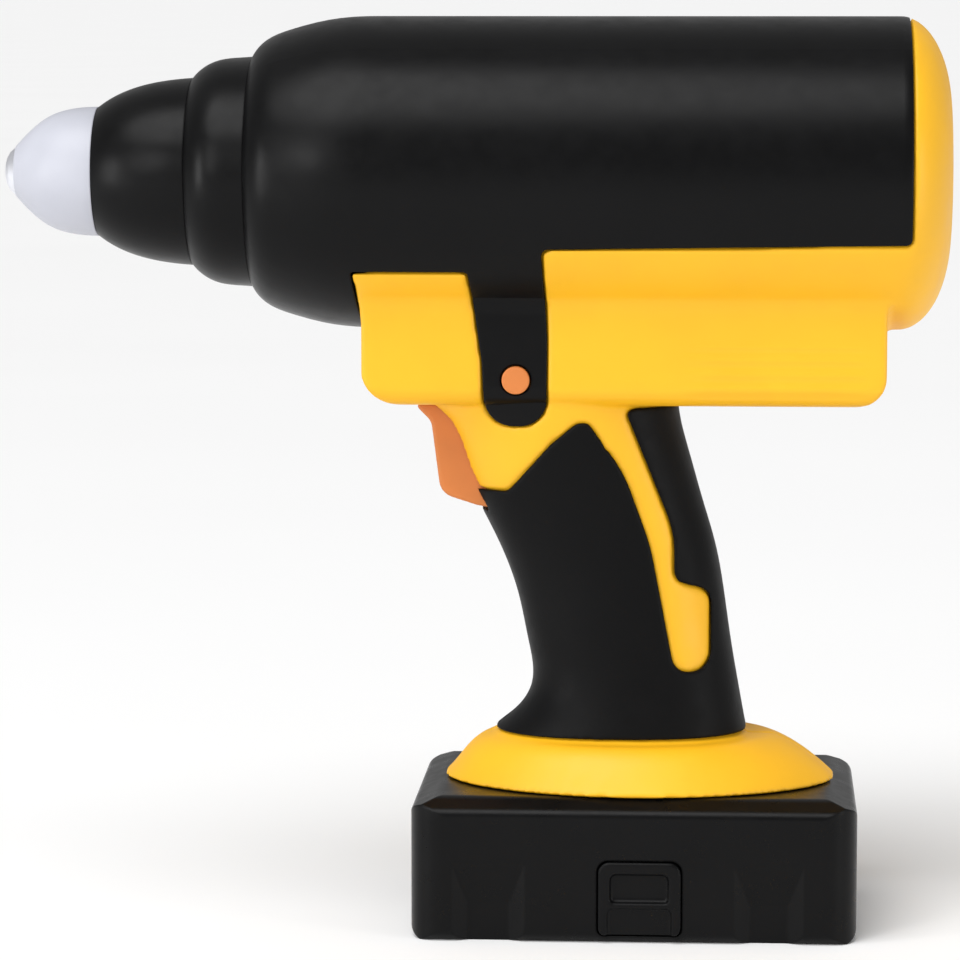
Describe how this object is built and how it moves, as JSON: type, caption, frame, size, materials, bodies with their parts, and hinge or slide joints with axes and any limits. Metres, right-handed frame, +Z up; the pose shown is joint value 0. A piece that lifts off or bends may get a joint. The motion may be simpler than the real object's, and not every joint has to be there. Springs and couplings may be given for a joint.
{
  "type": "cordless glue gun",
  "caption": "Cordless hot glue gun with a round barrel, pale nozzle, pistol grip, sliding trigger and a flat clip-on battery foot.",
  "frame": {"origin": "middle of the whole tool's box in plan, at the underside of the battery", "axes": "-X towards the nozzle, +X towards the back, +Z up, +Y towards the tool's right side"},
  "size_m": [0.253, 0.0832, 0.2426],
  "materials": {
    "yellow_shell": "satin moulded plastic",
    "black_shell": "satin moulded plastic",
    "black_soft": "soft overmould",
    "orange": "satin moulded plastic",
    "nozzle_silicone": "pale heat-proof silicone",
    "nickel": "nickel plate",
    "aluminium": "die cast",
    "steel": "bright steel",
    "ceramic": "ceramic",
    "natural_plastic": "glass-filled nylon",
    "board": "solder resist",
    "component": "epoxy",
    "copper": "copper alloy",
    "wire_red": "silicone insulation",
    "cell_wrap": "shrink wrap",
    "battery_black": "satin moulded plastic"
  },
  "bodies": {
    "housing": {"left_housing": "yellow_shell", "right_housing": "yellow_shell", "barrel_cover": "black_shell", "left_grip_overmould": "black_soft", "right_grip_overmould": "black_soft", "housing_screws": "steel", "nozzle_cap": "nozzle_silicone", "nozzle_guard": "black_shell", "step_ring": "black_shell", "nozzle": "nickel", "melt_chamber": "aluminium", "ptc_heater": "ceramic", "heater_clip": "steel", "thermal_fuse": "ceramic", "nose_support": "natural_plastic", "rear_support": "natural_plastic", "inlet_sleeve": "nozzle_silicone", "guide_rods": "steel", "feed_springs": "steel", "lever_pin": "steel", "trigger_spring": "steel", "rear_guide": "natural_plastic", "rear_bulkhead": "natural_plastic", "stick_port_bush": "black_shell", "power_switch": "component", "control_board": "board", "board_components": "component", "terminal_block": "black_shell", "tool_contacts": "copper", "battery_leads": "wire_red", "heater_leads": "wire_red", "switch_leads": "wire_red"},
    "trigger": {"trigger": "orange"},
    "feed_lever": {"feed_lever": "natural_plastic"},
    "carriage": {"carriage": "natural_plastic", "clamp_pin": "steel"},
    "stick_clamp": {"stick_clamp": "steel"},
    "power_button": {"power_button": "orange"},
    "battery": {"battery_case_lower": "battery_black", "battery_case_upper": "battery_black", "battery_screws": "steel", "cell_1": "cell_wrap", "cell_2": "cell_wrap", "cell_3": "cell_wrap", "cell_4": "cell_wrap", "cell_cradle": "natural_plastic", "cell_links": "nickel", "contact_holder": "black_shell", "battery_contacts": "copper", "battery_board": "board", "pack_leads": "wire_red", "latch_posts": "natural_plastic", "latch_spring_left": "steel", "latch_spring_right": "steel"},
    "latch_left": {"latch_left": "battery_black"},
    "latch_right": {"latch_right": "battery_black"}
  },
  "joints": [
    {"name": "trigger_pull", "type": "slide", "parent": "housing", "child": "trigger", "axis": [1, 0, 0], "range_m": [0, 0.007], "stiffness_N_per_m": 900, "springref_m": -0.004, "deforming": ["trigger_spring"]},
    {"name": "lever_swing", "type": "hinge", "parent": "housing", "child": "feed_lever", "pos_m": [0.026, 0, 0.158], "axis": [0, -1, 0], "range_deg": [0, 13.4]},
    {"name": "carriage_feed", "type": "slide", "parent": "housing", "child": "carriage", "axis": [-1, 0, 0], "range_m": [0, 0.0061], "deforming": ["feed_springs"]},
    {"name": "clamp_tilt", "type": "hinge", "parent": "carriage", "child": "stick_clamp", "pos_m": [0.0146, 0, 0.187], "axis": [0, -1, 0], "range_deg": [0, 5.1]},
    {"name": "button_press", "type": "slide", "parent": "housing", "child": "power_button", "axis": [0, 1, 0], "range_m": [0, 0.0015], "stiffness_N_per_m": 600, "springref_m": -0.001},
    {"name": "battery_slide", "type": "slide", "parent": "housing", "child": "battery", "axis": [0, 0, -1], "range_m": [0, 0.045]},
    {"name": "latch_left_press", "type": "slide", "parent": "battery", "child": "latch_left", "axis": [0, 1, 0], "range_m": [0, 0.0025], "stiffness_N_per_m": 700, "springref_m": -0.001, "deforming": ["latch_spring_left"]},
    {"name": "latch_right_press", "type": "slide", "parent": "battery", "child": "latch_right", "axis": [0, -1, 0], "range_m": [0, 0.0025], "stiffness_N_per_m": 700, "springref_m": -0.001, "deforming": ["latch_spring_right"]}
  ],
  "couplings": [
    {"joint": "lever_swing", "follows": "trigger_pull", "rad_per_m": 33.333},
    {"joint": "carriage_feed", "follows": "trigger_pull", "ratio": 0.86667},
    {"joint": "clamp_tilt", "follows": "trigger_pull", "rad_per_m": 12.467}
  ]
}
